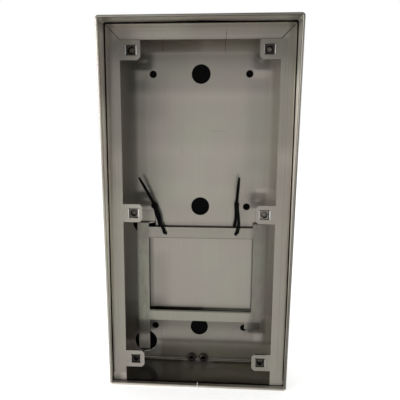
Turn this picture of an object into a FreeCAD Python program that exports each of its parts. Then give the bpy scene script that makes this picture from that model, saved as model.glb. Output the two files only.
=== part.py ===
import FreeCAD, Part
import math
import os
from FreeCAD import Vector

# Surface mount back box for a wall intercom station, in millimetres.
# X runs to the right of someone facing the box, Z is up, and the open front faces -Y.
# The origin is on the wall plane, at the centre of the wall fixing holes.

# Back box: one folded sheet with two side flanges and a top flange
BOX_WIDTH = 204.0
BOX_HEIGHT = 410.0
BOX_DEPTH = 53.5
BOX_SHEET = 1.5
BACK_BEND = 3.0
FRONT_BEND = 0.3
BOX_WELD_ROUND = 1.6
SIDE_FLANGE_WIDTH = 16.5
TOP_FLANGE_WIDTH = 17.4
MITRE_GAP = 0.5
FLANGE_FOOT_CHAMFER = 3.0

# Panel fixing tabs on the side flanges
TAB_REACH = 22.0
TAB_HEIGHT = 20.6
TAB_CHAMFER = 3.2
TAB_ROW_FROM_END = 28.0
TAB_HOLE_SIZE = 11.0
TAB_HOLE_FROM_FLANGE = 12.1

# Holes in the back plate
HOLE_ROW_FROM_END = 48.0
CENTRE_CONDUIT_DIAMETER = 22.2
WALL_HOLE_DIAMETER = 8.5
WALL_HOLE_SPACING = 113.0
SIDE_CONDUIT_DIAMETER = 28.6
SIDE_CONDUIT_X = -69.0
SIDE_CONDUIT_DROP = 21.5

# Hood sleeve: a folded strip round the box, with a slanted and hemmed front edge
SLEEVE_SHEET = 1.2
SLEEVE_GAP = 0.4
SLEEVE_CORNER = 3.4
HOOD_TOP_REACH = 32.0
HOOD_BOTTOM_REACH = 9.5
HEM_DEPTH = 6.5
HEM_THICKNESS = 2.5
HEM_ROUND = 1.2
SLEEVE_JOINT_GAP = 0.8

# Cage nuts: a folded spring cage on each square hole, with a loose square nut in it
CAGE_SHEET = 0.5
CAGE_CLEARANCE = 0.1
CAGE_LIP_REACH = 0.8
CAGE_HEIGHT = 9.6
CAGE_DEPTH = 7.4
CAGE_BACK_HOLE = 7.0
CAGE_FLAP_LENGTH = 3.6
NUT_SIZE = 9.2
NUT_THICKNESS = 4.6
NUT_COLLAR_DIAMETER = 8.8
NUT_COLLAR_HEIGHT = 0.7
NUT_BORE_DIAMETER = 5.0
NUT_COUNTERSINK = 1.4
NUT_PLAY = 0.15

# Module bracket: a flat sheet frame that stands off the back plate on three joggled feet
BRACKET_SHEET = 1.5
BRACKET_STANDOFF = 4.5
BRACKET_WIDTH = 155.8
BRACKET_CENTRE_X = 0.8
LEG_WIDTH = 14.0
BAR_WIDTH = 13.8
UPPER_BAR_TOP = -25.6
LOWER_BAR_TOP = -133.2
LEG_TOP = -19.6
LEFT_LEG_BOTTOM = -186.4
FOOT_WIDTH = 19.0
FOOT_SIDE_STEP = 2.5
FOOT_HEIGHT = 15.4
LOWER_FOOT_HEIGHT = 12.7
FOOT_BEND = 1.4
TIE_HOLE_DIAMETER = 4.2
TIE_HOLE_DROP = 7.6
LEFT_TIE_HOLE_X = -42.0
RIGHT_TIE_HOLE_X = 44.0

# Cable ties
STRAP_WIDTH = 2.5
STRAP_THICKNESS = 1.1
TIE_TIP_WIDTH = 1.5
TIE_HEAD_WIDTH = 4.8
TIE_HEAD_LENGTH = 6.4
TIE_HEAD_DEPTH = 4.2
TIE_HEAD_CHAMFER = 0.7
TIE_HEAD_HEIGHT_ABOVE_HOLE = 36.2
TIE_STAND_OFF = 9.6
TIE_TAIL_STEPS = 6
TIE_TAIL_RISE = 0.8
TIE_TAPER_START = 0.7
TIE_EASE = 0.3
LEFT_TIE_ANGLE = -20.0
LEFT_LOOP_BOW = 0.4
LEFT_TAIL_LENGTH = 37.6
LEFT_TAIL_BOW = -1.4
LEFT_TAIL_CURL = -3.6
RIGHT_TIE_ANGLE = 0.5
RIGHT_LOOP_BOW = 0.9
RIGHT_TAIL_LENGTH = 32.4
RIGHT_TAIL_BOW = 1.0
RIGHT_TAIL_CURL = 0.6

# Rivet nuts in the back plate, just above the bottom wall: a shank through the sheet and a round head
RIVET_NUT_CENTRES = (-9.7, 6.0)
RIVET_NUT_ABOVE_FLOOR = 4.9
RIVET_NUT_DIAMETER = 9.6
RIVET_NUT_HEAD = 1.5
RIVET_NUT_STANDOFF = 3.0
RIVET_NUT_BORE = 4.2
RIVET_NUT_SHANK = 6.4
RIVET_NUT_FIT = 0.03
RIVET_NUT_EDGE = 0.7

HALF_WIDTH = BOX_WIDTH / 2
HALF_HEIGHT = BOX_HEIGHT / 2
TAB_ROW_PITCH = HALF_HEIGHT - TAB_ROW_FROM_END
HOLE_ROW_PITCH = HALF_HEIGHT - HOLE_ROW_FROM_END
PLATE_FRONT = -BOX_SHEET
FLANGE_FRONT = -BOX_DEPTH
FLANGE_BACK = FLANGE_FRONT + BOX_SHEET
OPENING_HALF_WIDTH = HALF_WIDTH - SIDE_FLANGE_WIDTH
OPENING_TOP = HALF_HEIGHT - TOP_FLANGE_WIDTH
TAB_HOLE_X = OPENING_HALF_WIDTH - TAB_HOLE_FROM_FLANGE
TAB_ROWS = {"top": TAB_ROW_PITCH, "middle": 0.0, "bottom": -TAB_ROW_PITCH}
SIDES = {"left": -1, "right": 1}
SLEEVE_INSIDE_WIDTH = BOX_WIDTH + 2 * SLEEVE_GAP
SLEEVE_INSIDE_HEIGHT = BOX_HEIGHT + 2 * SLEEVE_GAP
SLEEVE_WIDTH = SLEEVE_INSIDE_WIDTH + 2 * SLEEVE_SHEET
SLEEVE_HEIGHT = SLEEVE_INSIDE_HEIGHT + 2 * SLEEVE_SHEET
BRACKET_BACK = PLATE_FRONT - BRACKET_STANDOFF
BRACKET_FRONT = BRACKET_BACK - BRACKET_SHEET
TIE_HOLE_Z = UPPER_BAR_TOP - TIE_HOLE_DROP
RIVET_NUT_ROW = -HALF_HEIGHT + BOX_SHEET + RIVET_NUT_ABOVE_FLOOR
PAST = 1.0


def block(x0, x1, y0, y1, z0, z1):
    """A box between two values on each axis."""
    low = Vector(min(x0, x1), min(y0, y1), min(z0, z1))
    return Part.makeBox(abs(x1 - x0), abs(y1 - y0), abs(z1 - z0), low)


def prism(points, push):
    """A flat polygon pushed along a vector."""
    return Part.Face(Part.makePolygon(points + points[:1])).extrude(push)


def prism_along_y(outline, y0, y1):
    """An outline of (x, z) points between two depths."""
    return prism([Vector(x, y0, z) for x, z in outline], Vector(0, y1 - y0, 0))


def prism_along_x(outline, half_width):
    """An outline of (y, z) points across the width."""
    return prism([Vector(-half_width, y, z) for y, z in outline], Vector(2 * half_width, 0, 0))


def round_hole(x, z, diameter, y0, y1):
    """A round cutter along Y, a little longer than the wall it goes through."""
    start = Vector(x, max(y0, y1) + PAST, z)
    return Part.makeCylinder(diameter / 2, abs(y1 - y0) + 2 * PAST, start, Vector(0, -1, 0))


def edges_along(shape, axis, wanted):
    """Straight edges along one axis whose middle passes a test."""
    found = []
    for edge in shape.Edges:
        ends = [vertex.Point for vertex in edge.Vertexes]
        if len(ends) != 2:
            continue
        run = ends[1] - ends[0]
        middle = (ends[0] + ends[1]) / 2
        if abs(run.dot(axis)) > 0.999 * run.Length and wanted(middle):
            found.append(edge)
    return found


def folded_form(offset):
    """The box's outer form moved inwards by an offset, with its bends and ground corners rounded."""
    x = HALF_WIDTH - offset
    z = HALF_HEIGHT - offset
    back = -offset
    front = FLANGE_FRONT + offset
    back_bend = BACK_BEND + BOX_SHEET - offset
    front_bend = FRONT_BEND + BOX_SHEET - offset

    def is_back(middle):
        return middle.y > back - PAST

    def is_front(middle):
        return middle.y < front + PAST

    def is_front_top(middle):
        return is_front(middle) and middle.z > 0

    across = block(-x, x, back, front, -z, z)
    across = across.makeFillet(back_bend, edges_along(across, Vector(0, 0, 1), is_back))
    across = across.makeFillet(front_bend, edges_along(across, Vector(0, 0, 1), is_front))
    along = block(-x, x, back, front, -z, z)
    along = along.makeFillet(back_bend, edges_along(along, Vector(1, 0, 0), is_back))
    along = along.makeFillet(front_bend, edges_along(along, Vector(1, 0, 0), is_front_top))
    form = across.common(along)
    weld = BOX_WELD_ROUND - offset
    if weld > 0.5:
        corners = block(-x, x, back, front, -z, z)
        corners = corners.makeFillet(weld, edges_along(corners, Vector(0, 1, 0), lambda middle: True))
        form = form.common(corners)
    return form


def tab_outline(side, row):
    """One fixing tab, chamfered at its free corners; a top tab meets the top flange."""
    root = side * (OPENING_HALF_WIDTH + PAST)
    end = side * (OPENING_HALF_WIDTH - TAB_REACH)
    low = row - TAB_HEIGHT / 2
    high = row + TAB_HEIGHT / 2
    cut_x = end + side * TAB_CHAMFER
    outline = [(root, low), (cut_x, low), (end, low + TAB_CHAMFER)]
    if row == TAB_ROWS["top"]:
        outline += [(end, high)]
    else:
        outline += [(end, high - TAB_CHAMFER), (cut_x, high)]
    return outline + [(root, high)]


def mitre_slit(side):
    """The open seam between a side flange and the top flange."""
    outer = Vector(side * HALF_WIDTH, 0, HALF_HEIGHT)
    inner = Vector(side * OPENING_HALF_WIDTH, 0, OPENING_TOP)
    run = (inner - outer).normalize()
    across = Vector(-run.z, 0, run.x) * (MITRE_GAP / 2)
    start = outer + run * BOX_SHEET
    end = inner + run * MITRE_GAP
    corners = [start + across, end + across, end - across, start - across]
    outline = [(corner.x, corner.z) for corner in corners]
    return prism_along_y(outline, FLANGE_FRONT - PAST, FLANGE_BACK + BOX_SHEET / 10)


def make_back_box():
    """Fold the sheet, open its front, and punch the tabs and the back plate."""
    shell = folded_form(0).cut(folded_form(BOX_SHEET))
    floor = -HALF_HEIGHT + BOX_SHEET
    opening = block(-OPENING_HALF_WIDTH, OPENING_HALF_WIDTH, FLANGE_FRONT - PAST, FLANGE_BACK + BOX_SHEET,
                    floor, OPENING_TOP)
    punched = []
    for side in SIDES.values():
        for row in TAB_ROWS.values():
            tab = prism_along_y(tab_outline(side, row), FLANGE_FRONT - 2 * PAST, FLANGE_BACK)
            opening = opening.cut(tab)
            hole_half = TAB_HOLE_SIZE / 2
            middle = side * TAB_HOLE_X
            punched.append(block(middle - hole_half, middle + hole_half, FLANGE_FRONT - PAST,
                                 FLANGE_BACK + PAST, row - hole_half, row + hole_half))
        punched.append(mitre_slit(side))
        corner = side * HALF_WIDTH
        inside = corner - side * FLANGE_FOOT_CHAMFER
        notch = [(corner, -HALF_HEIGHT), (inside, -HALF_HEIGHT), (corner, -HALF_HEIGHT + FLANGE_FOOT_CHAMFER)]
        punched.append(prism_along_y(notch, FLANGE_FRONT - PAST, FLANGE_BACK + PAST))
    for row in (HOLE_ROW_PITCH, 0.0, -HOLE_ROW_PITCH):
        punched.append(round_hole(0, row, CENTRE_CONDUIT_DIAMETER, 0, PLATE_FRONT))
        for side in SIDES.values():
            punched.append(round_hole(side * WALL_HOLE_SPACING / 2, row, WALL_HOLE_DIAMETER, 0, PLATE_FRONT))
    for row in (0.0, -HOLE_ROW_PITCH):
        drop = row - SIDE_CONDUIT_DROP
        punched.append(round_hole(SIDE_CONDUIT_X, drop, SIDE_CONDUIT_DIAMETER, 0, PLATE_FRONT))
    for centre in RIVET_NUT_CENTRES:
        punched.append(round_hole(centre, RIVET_NUT_ROW, RIVET_NUT_SHANK + 2 * RIVET_NUT_FIT, 0, PLATE_FRONT))
    return shell.cut(opening).cut(Part.makeCompound(punched))


def sleeve_block(inset, depth):
    """A rectangular tube's outer form, moved inwards by an inset, with rounded corners."""
    x = SLEEVE_WIDTH / 2 - inset
    z = SLEEVE_HEIGHT / 2 - inset
    form = block(-x, x, PAST if inset else 0, -depth, -z, z)
    radius = SLEEVE_CORNER - inset
    return form.makeFillet(radius, edges_along(form, Vector(0, 1, 0), lambda middle: True))


def in_front_of_slant(shift):
    """Everything in front of the hood's slanted edge, moved back by a shift."""
    half = SLEEVE_HEIGHT / 2
    reach = 2 * (BOX_DEPTH + HOOD_TOP_REACH)
    low = FLANGE_FRONT - HOOD_BOTTOM_REACH + shift
    high = FLANGE_FRONT - HOOD_TOP_REACH + shift
    rise = (high - low) / SLEEVE_HEIGHT * PAST
    outline = [(low - rise, -half - PAST), (high + rise, half + PAST), (-reach, half + PAST), (-reach, -half - PAST)]
    return prism_along_x(outline, SLEEVE_WIDTH)


def make_hood_sleeve():
    """Fold the strip round the box, slant its front edge and turn the hem inwards."""
    depth = BOX_DEPTH + HOOD_TOP_REACH + PAST
    outside = sleeve_block(0, depth)
    wall = outside.cut(sleeve_block(SLEEVE_SHEET, depth + PAST))
    hem = outside.cut(sleeve_block(HEM_THICKNESS, depth + PAST)).common(in_front_of_slant(HEM_DEPTH))
    sleeve = wall.fuse(hem).cut(in_front_of_slant(0)).removeSplitter()
    lean = math.atan((HOOD_TOP_REACH - HOOD_BOTTOM_REACH) / SLEEVE_HEIGHT)
    facing = Vector(0, -math.cos(lean), -math.sin(lean))

    def faces_front(face):
        centre = face.CenterOfMass
        limit = FLANGE_FRONT - HOOD_BOTTOM_REACH / 2
        return centre.y < limit and abs(face.normalAt(0, 0).dot(facing)) > 0.999 and face.Area > HEM_THICKNESS

    rim = max((face for face in sleeve.Faces if faces_front(face)), key=lambda face: -face.CenterOfMass.y)
    sleeve = sleeve.makeFillet(HEM_ROUND, rim.Edges)
    joint = block(-SLEEVE_JOINT_GAP / 2, SLEEVE_JOINT_GAP / 2, PAST, -depth, -SLEEVE_HEIGHT / 2 - PAST,
                  -SLEEVE_INSIDE_HEIGHT / 2 + HEM_THICKNESS)
    return sleeve.cut(joint)


def make_nut_cage(x, z):
    """A folded spring cage: a holed back, two side arms with lips, and two short flaps."""
    outer = TAB_HOLE_SIZE / 2 - CAGE_CLEARANCE
    inner = outer - CAGE_SHEET
    half = CAGE_HEIGHT / 2
    front = FLANGE_FRONT - CAGE_SHEET
    back = FLANGE_FRONT + CAGE_DEPTH
    cage = block(-outer, outer, back, back - CAGE_SHEET, -half, half)
    cage = cage.cut(round_hole(0, 0, CAGE_BACK_HOLE, back, back - CAGE_SHEET))
    flap_inner = NUT_SIZE / 2 + NUT_PLAY
    flap_outer = flap_inner + CAGE_SHEET
    for side in (-1, 1):
        cage = cage.fuse(block(side * inner, side * outer, front, back, -half, half))
        cage = cage.fuse(block(side * inner, side * (outer + CAGE_LIP_REACH), front, FLANGE_FRONT, -half, half))
        cage = cage.fuse(block(-half, half, back - CAGE_FLAP_LENGTH, back, side * flap_inner, side * flap_outer))
        bridge = block(-half, half, back - CAGE_SHEET, back, side * half, side * flap_outer)
        cage = cage.fuse(bridge)
    cage = cage.removeSplitter()
    cage.translate(Vector(x, 0, z))
    return cage


def make_square_nut(x, z):
    """A square nut with a round collar towards the front and a countersunk bore."""
    half = NUT_SIZE / 2
    back = FLANGE_FRONT + CAGE_DEPTH - CAGE_SHEET - NUT_PLAY
    front = back - NUT_THICKNESS
    nut = block(-half, half, back, front, -half, half)
    collar = Part.makeCylinder(NUT_COLLAR_DIAMETER / 2, NUT_COLLAR_HEIGHT, Vector(0, front, 0), Vector(0, -1, 0))
    nut = nut.fuse(collar)
    nut = nut.cut(round_hole(0, 0, NUT_BORE_DIAMETER, back, front - NUT_COLLAR_HEIGHT))
    bore = NUT_BORE_DIAMETER / 2
    mouth = Part.makeCone(bore + NUT_COUNTERSINK, bore, NUT_COUNTERSINK,
                          Vector(0, front - NUT_COLLAR_HEIGHT, 0), Vector(0, 1, 0))
    nut = nut.cut(mouth)
    nut.translate(Vector(x, 0, z))
    return nut


def joggled_foot(leg_start, foot_start, ledge_low, foot_low, foot_high):
    """A ledge that leads back from the end of a leg, and the foot that lies on the plate."""
    foot_end = foot_start + FOOT_WIDTH
    foot_front = PLATE_FRONT - BRACKET_SHEET
    corners = [(leg_start, BRACKET_FRONT), (leg_start + LEG_WIDTH, BRACKET_FRONT), (foot_end, foot_front),
               (foot_end, PLATE_FRONT), (foot_start, PLATE_FRONT), (foot_start, foot_front)]
    ledge = prism([Vector(x, y, ledge_low) for x, y in corners], Vector(0, 0, BRACKET_SHEET))
    foot = block(foot_start, foot_end, foot_front, PLATE_FRONT, foot_low, foot_high)
    return [ledge, foot]


def make_bracket():
    """Cut the frame from flat sheet, then joggle a foot above each leg and one below the right leg."""
    left = BRACKET_CENTRE_X - BRACKET_WIDTH / 2
    right = BRACKET_CENTRE_X + BRACKET_WIDTH / 2
    lower_bar_bottom = LOWER_BAR_TOP - BAR_WIDTH
    legs = ((left, LEFT_LEG_BOTTOM), (right - LEG_WIDTH, lower_bar_bottom))
    pieces = [block(left, right, BRACKET_BACK, BRACKET_FRONT, top - BAR_WIDTH, top)
              for top in (UPPER_BAR_TOP, LOWER_BAR_TOP)]
    upper_ledge = LEG_TOP - BRACKET_SHEET
    for start, bottom in legs:
        pieces.append(block(start, start + LEG_WIDTH, BRACKET_BACK, BRACKET_FRONT, bottom, LEG_TOP))
        pieces += joggled_foot(start, start + FOOT_SIDE_STEP, upper_ledge, upper_ledge, upper_ledge + FOOT_HEIGHT)
    lower_foot_top = lower_bar_bottom + BRACKET_SHEET
    pieces += joggled_foot(right - LEG_WIDTH, right - FOOT_SIDE_STEP - FOOT_WIDTH, lower_bar_bottom,
                           lower_foot_top - LOWER_FOOT_HEIGHT, lower_foot_top)
    bracket = pieces[0].multiFuse(pieces[1:]).removeSplitter()

    def is_front_bend(middle):
        return abs(middle.y - BRACKET_FRONT) < 0.01 and abs(middle.z - LEG_TOP) < 0.01

    bracket = bracket.makeFillet(FOOT_BEND, edges_along(bracket, Vector(1, 0, 0), is_front_bend))
    for x in (LEFT_TIE_HOLE_X, RIGHT_TIE_HOLE_X):
        bracket = bracket.cut(round_hole(x, TIE_HOLE_Z, TIE_HOLE_DIAMETER, BRACKET_BACK, BRACKET_FRONT))
    return bracket


def strap(points, widths):
    """A flat strap through points (x, stand-off from the wall, z), lofted over its sections."""
    places = [Vector(x, -stand_off, z) for x, stand_off, z in points]
    sections = []
    for index, place in enumerate(places):
        before = places[max(index - 1, 0)]
        after = places[min(index + 1, len(places) - 1)]
        run = (after - before).normalize()
        side = Vector(1, 0, 0) - run * run.x
        side = side.normalize() * (widths[index] / 2)
        up = run.cross(side).normalize() * (STRAP_THICKNESS / 2)
        corners = [place + side + up, place - side + up, place - side - up, place + side - up]
        sections.append(Part.makePolygon(corners + corners[:1]))
    return Part.makeLoft(sections, True, True)


def make_cable_tie(hole_x, angle, loop_bow, tail_length, tail_bow, tail_curl):
    """A nylon tie: head, doubled loop through the bracket's hole and over its edge, and free tail."""
    front_of_bar = -BRACKET_FRONT + STRAP_THICKNESS
    behind_bar = -BRACKET_BACK - STRAP_THICKNESS
    inside_hole = (front_of_bar + behind_bar) / 2
    head_low = TIE_HEAD_HEIGHT_ABOVE_HOLE - TIE_HEAD_LENGTH / 2
    head_high = TIE_HEAD_HEIGHT_ABOVE_HOLE + TIE_HEAD_LENGTH / 2
    half = STRAP_WIDTH / 2
    drop = STRAP_THICKNESS / 2
    loop = [
        (half / 2, TIE_STAND_OFF + drop, head_low + PAST),
        (half + loop_bow, TIE_STAND_OFF + drop, 0.7 * head_low),
        (half + loop_bow, TIE_STAND_OFF, 0.4 * head_low),
        (half, front_of_bar + TIE_EASE, TIE_HOLE_DROP),
        (0.6 * half, front_of_bar, 3 * drop),
        (0.2 * half, front_of_bar - TIE_EASE, 0.5 * drop),
        (0.0, inside_hole + 2 * TIE_EASE, -drop),
        (0.0, inside_hole - 2 * TIE_EASE, -drop),
        (-0.2 * half, behind_bar + TIE_EASE, 0.5 * drop),
        (-0.5 * half, behind_bar, 3 * drop),
        (-1.3 * half, behind_bar, TIE_HOLE_DROP),
        (-1.4 * half, behind_bar + 2 * TIE_EASE, 1.4 * TIE_HOLE_DROP),
        (loop_bow - 1.2 * half, TIE_STAND_OFF - 2 * drop, 0.5 * head_low),
        (loop_bow - half, TIE_STAND_OFF - 2 * drop, 0.8 * head_low),
        (-half / 2, TIE_STAND_OFF - 2 * drop, head_low + PAST),
    ]
    tail = []
    tail_widths = []
    for step in range(TIE_TAIL_STEPS + 1):
        along = step / TIE_TAIL_STEPS
        tail.append((tail_bow * along + tail_curl * along ** 2, TIE_STAND_OFF + TIE_TAIL_RISE * along,
                     head_high - PAST + tail_length * along))
        narrow = max(0.0, along - TIE_TAPER_START) / (1 - TIE_TAPER_START)
        tail_widths.append(STRAP_WIDTH - (STRAP_WIDTH - TIE_TIP_WIDTH) * narrow)
    half_head = TIE_HEAD_WIDTH / 2
    head = block(-half_head, half_head, -TIE_STAND_OFF - TIE_HEAD_DEPTH / 2, -TIE_STAND_OFF + TIE_HEAD_DEPTH / 2,
                 head_low, head_high)
    head = head.makeChamfer(TIE_HEAD_CHAMFER, head.Edges)
    tie = head.fuse(strap(loop, [STRAP_WIDTH] * len(loop)))
    tie = tie.fuse(strap(tail, tail_widths))
    tie.rotate(Vector(0, 0, 0), Vector(0, 1, 0), angle)
    tie.translate(Vector(hole_x, 0, TIE_HOLE_Z))
    return tie


def make_rivet_nut(x):
    """A threaded insert in the back plate: plain shank, chamfered round head, open bore."""
    head = RIVET_NUT_DIAMETER / 2
    shank = RIVET_NUT_SHANK / 2
    bore = RIVET_NUT_BORE / 2
    under_head = BOX_SHEET + RIVET_NUT_STANDOFF
    front = under_head + RIVET_NUT_HEAD
    profile = [Vector(bore, 0, 0), Vector(shank, 0, 0), Vector(shank, -under_head, 0),
               Vector(head, -under_head, 0), Vector(head, RIVET_NUT_EDGE - front, 0),
               Vector(head - RIVET_NUT_EDGE, -front, 0), Vector(bore, -front, 0)]
    face = Part.Face(Part.makePolygon(profile + profile[:1]))
    nut = face.revolve(Vector(0, 0, 0), Vector(0, 1, 0), 360)
    nut.translate(Vector(x, 0, RIVET_NUT_ROW))
    return nut


def save(node, shape):
    """Write one piece, and print what it holds."""
    solids = shape.Solids
    if len(solids) == 1:
        shape = solids[0]
    shape.exportStep("parts/" + node + ".step")
    print(node, "solids", len(solids), "valid", shape.isValid(), "volume", round(shape.Volume, 1))


os.makedirs("parts", exist_ok=True)
save("back_box", make_back_box())
save("hood_sleeve", make_hood_sleeve())
save("module_bracket", make_bracket())
save("cable_tie_left", make_cable_tie(LEFT_TIE_HOLE_X, LEFT_TIE_ANGLE, LEFT_LOOP_BOW, LEFT_TAIL_LENGTH,
                                      LEFT_TAIL_BOW, LEFT_TAIL_CURL))
save("cable_tie_right", make_cable_tie(RIGHT_TIE_HOLE_X, RIGHT_TIE_ANGLE, RIGHT_LOOP_BOW, RIGHT_TAIL_LENGTH,
                                       RIGHT_TAIL_BOW, RIGHT_TAIL_CURL))
for place, centre in zip(("left", "right"), RIVET_NUT_CENTRES):
    save("rivet_nut_" + place, make_rivet_nut(centre))
for row_name, row in TAB_ROWS.items():
    for side_name, side in SIDES.items():
        place = row_name + "_" + side_name
        save("nut_cage_" + place, make_nut_cage(side * TAB_HOLE_X, row))
        save("square_nut_" + place, make_square_nut(side * TAB_HOLE_X, row))
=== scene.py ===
import math

import bpy
import numpy as np
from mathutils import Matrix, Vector


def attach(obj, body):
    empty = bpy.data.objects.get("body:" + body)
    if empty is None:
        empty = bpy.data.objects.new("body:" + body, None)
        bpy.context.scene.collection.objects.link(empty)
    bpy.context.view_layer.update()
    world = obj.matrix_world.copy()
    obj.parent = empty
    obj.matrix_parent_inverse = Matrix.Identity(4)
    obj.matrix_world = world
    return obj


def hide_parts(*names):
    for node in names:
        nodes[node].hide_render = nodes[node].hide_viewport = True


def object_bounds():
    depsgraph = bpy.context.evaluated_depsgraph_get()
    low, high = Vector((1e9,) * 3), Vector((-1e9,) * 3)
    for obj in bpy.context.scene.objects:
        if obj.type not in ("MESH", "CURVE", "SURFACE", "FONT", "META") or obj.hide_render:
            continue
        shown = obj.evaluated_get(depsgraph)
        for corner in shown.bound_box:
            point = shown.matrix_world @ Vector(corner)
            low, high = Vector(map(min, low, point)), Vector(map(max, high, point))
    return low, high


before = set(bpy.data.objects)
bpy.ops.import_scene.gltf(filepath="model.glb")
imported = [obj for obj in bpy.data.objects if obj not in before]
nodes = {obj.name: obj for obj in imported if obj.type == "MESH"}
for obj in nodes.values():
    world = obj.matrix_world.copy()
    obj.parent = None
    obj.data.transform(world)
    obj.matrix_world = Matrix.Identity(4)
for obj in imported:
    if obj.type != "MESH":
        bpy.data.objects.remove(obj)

scene = bpy.context.scene
cad_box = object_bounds()
MM = 0.001

# The view: a small camera a little over half a metre in front of the box, above its middle and to the
# right of it, tipped down. Place, angles and lens come from a fit to the box's edges and holes.
FRAME_PIXELS = 400
FOCAL_PIXELS = 475.25
AXIS_PIXEL = (184.91, 207.49)
CAMERA_PLACE = (20.12 * MM, -576.60 * MM, 100.96 * MM)
CAMERA_ANGLES = (79.885, -0.109, 3.892)
SENSOR_WIDTH = 36.0
NEAREST = 10.0 * MM

camera_data = bpy.data.cameras.new("camera")
camera_data.sensor_width = SENSOR_WIDTH
camera_data.lens = FOCAL_PIXELS / FRAME_PIXELS * SENSOR_WIDTH
camera_data.shift_x = (FRAME_PIXELS / 2 - AXIS_PIXEL[0]) / FRAME_PIXELS
camera_data.shift_y = (AXIS_PIXEL[1] - FRAME_PIXELS / 2) / FRAME_PIXELS
camera_data.clip_start = NEAREST
camera = bpy.data.objects.new("camera", camera_data)
camera.location = CAMERA_PLACE
camera.rotation_euler = [math.radians(angle) for angle in CAMERA_ANGLES]
scene.collection.objects.link(camera)
scene.camera = camera
scene.view_settings.view_transform = "Standard"


# The studio: a white floor under the box's bottom edge and a white surround, which the steel mirrors; a
# dark ceiling in front, as in the room of the photograph; and two soft lamps, the stronger one at the left.
class Signal:
    """One number or colour that a material's nodes carry. Arithmetic on numbers adds Math nodes."""

    def __init__(self, sheet, socket):
        self.sheet = sheet
        self.socket = socket

    def math(self, operation, first, second=0.0):
        return self.sheet.node("Math", {"operation": operation}, {0: first, 1: second})

    def __add__(self, other):
        return self.math("ADD", self, other)

    def __radd__(self, other):
        return self.math("ADD", other, self)

    def __sub__(self, other):
        return self.math("SUBTRACT", self, other)

    def __rsub__(self, other):
        return self.math("SUBTRACT", other, self)

    def __mul__(self, other):
        return self.math("MULTIPLY", self, other)

    def __rmul__(self, other):
        return self.math("MULTIPLY", other, self)

    def __gt__(self, other):
        return self.math("GREATER_THAN", self, other)

    def __lt__(self, other):
        return self.math("LESS_THAN", self, other)

    def __abs__(self):
        return self.math("ABSOLUTE", self)


class NodeSheet:
    """The nodes of a material or of the world, with its shader and the shader's closure at hand."""

    def __init__(self, owner, shader="Principled BSDF"):
        owner.use_nodes = True
        self.owner = owner
        self.tree = owner.node_tree
        self.shader = self.tree.nodes[shader]
        self.closure = Signal(self, self.shader.outputs[0])

    def node(self, kind, settings=None, sockets=None, out=0):
        """Adds a node: settings first, then a value or a link for each socket. Gives one of its outputs."""
        node = self.tree.nodes.new("ShaderNode" + kind)
        for name, value in (settings or {}).items():
            setattr(node, name, value)
        for name, value in (sockets or {}).items():
            self.put(node.inputs[name], value)
        return Signal(self, node.outputs[out])

    def put(self, socket, value):
        if isinstance(value, Signal):
            self.tree.links.new(value.socket, socket)
        else:
            socket.default_value = value

    def shade(self, **sockets):
        """Sets the shader's sockets; an underscore in a name stands for a space."""
        for name, value in sockets.items():
            self.put(self.shader.inputs[name.replace("_", " ")], value)

    def surface(self, signal):
        """Sends a closure to the output in place of the shader's own."""
        self.tree.links.new(signal.socket, self.tree.nodes["Material Output"].inputs["Surface"])


def card(name, *outlines):
    """A staged flat panel, or several as one, each through its own row of corners."""
    corners, faces = [], []
    for outline in outlines:
        faces.append(range(len(corners), len(corners) + len(outline)))
        corners += outline
    mesh = bpy.data.meshes.new(name)
    mesh.from_pydata(corners, [], faces)
    panel = bpy.data.objects.new(name, mesh)
    scene.collection.objects.link(panel)
    sheet = NodeSheet(bpy.data.materials.new(name))
    mesh.materials.append(sheet.owner)
    return panel, sheet


def level_outline(half_width, front, back, height):
    """The corners of a level rectangle, in metres: its front edge, then its back edge."""
    return [(-half_width, front, height), (half_width, front, height),
            (half_width, back, height), (-half_width, back, height)]


FLOOR_HALF = 6.0
FLOOR_COLOUR = (0.90, 0.90, 0.90, 1.0)
FLOOR_ROUGHNESS = 0.9
FLOOR_GLOW = 0.46
FLOOR_SEEN_GLOW = 0.06
FILL_STRENGTH = 0.75
WHITE = (1.0, 1.0, 1.0, 1.0)
CEILING_HALF = 3.0
CEILING_FRONT = -3.4
CEILING_BACK = -0.32
CEILING_HEIGHT = 0.62
CEILING_COLOUR = (0.10, 0.10, 0.095, 1.0)
LAMPS = {
    "key": {"place": (-1.6, -1.1, 0.1), "size": 1.2, "watts": 48.0},
    "fill": {"place": (1.6, -1.1, 0.0), "size": 1.0, "watts": 10.0},
}

floor, floor_sheet = card("floor", level_outline(FLOOR_HALF, -FLOOR_HALF, FLOOR_HALF, cad_box[0][2]))
floor_seen = floor_sheet.node("LightPath", out="Is Camera Ray")
floor_sheet.shade(Base_Color=FLOOR_COLOUR, Roughness=FLOOR_ROUGHNESS, Emission_Color=WHITE,
                  Emission_Strength=FLOOR_GLOW + FLOOR_SEEN_GLOW * floor_seen)

ceiling_outline = level_outline(CEILING_HALF, CEILING_FRONT, CEILING_BACK, CEILING_HEIGHT)
ceiling, ceiling_sheet = card("ceiling", ceiling_outline)
ceiling_sheet.shade(Base_Color=CEILING_COLOUR, Roughness=1.0)
ceiling.visible_camera = False

world = bpy.data.worlds.new("studio")
scene.world = world
sky = NodeSheet(world, "Background")
ray_kinds = ("Is Camera Ray", "Is Glossy Ray", "Is Transmission Ray")
rays = [sky.node("LightPath", out=kind) for kind in ray_kinds]
seen = rays[0] + rays[1] + rays[2] > 0.5
sky.shade(Color=WHITE, Strength=FILL_STRENGTH + (1.0 - FILL_STRENGTH) * seen)

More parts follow.
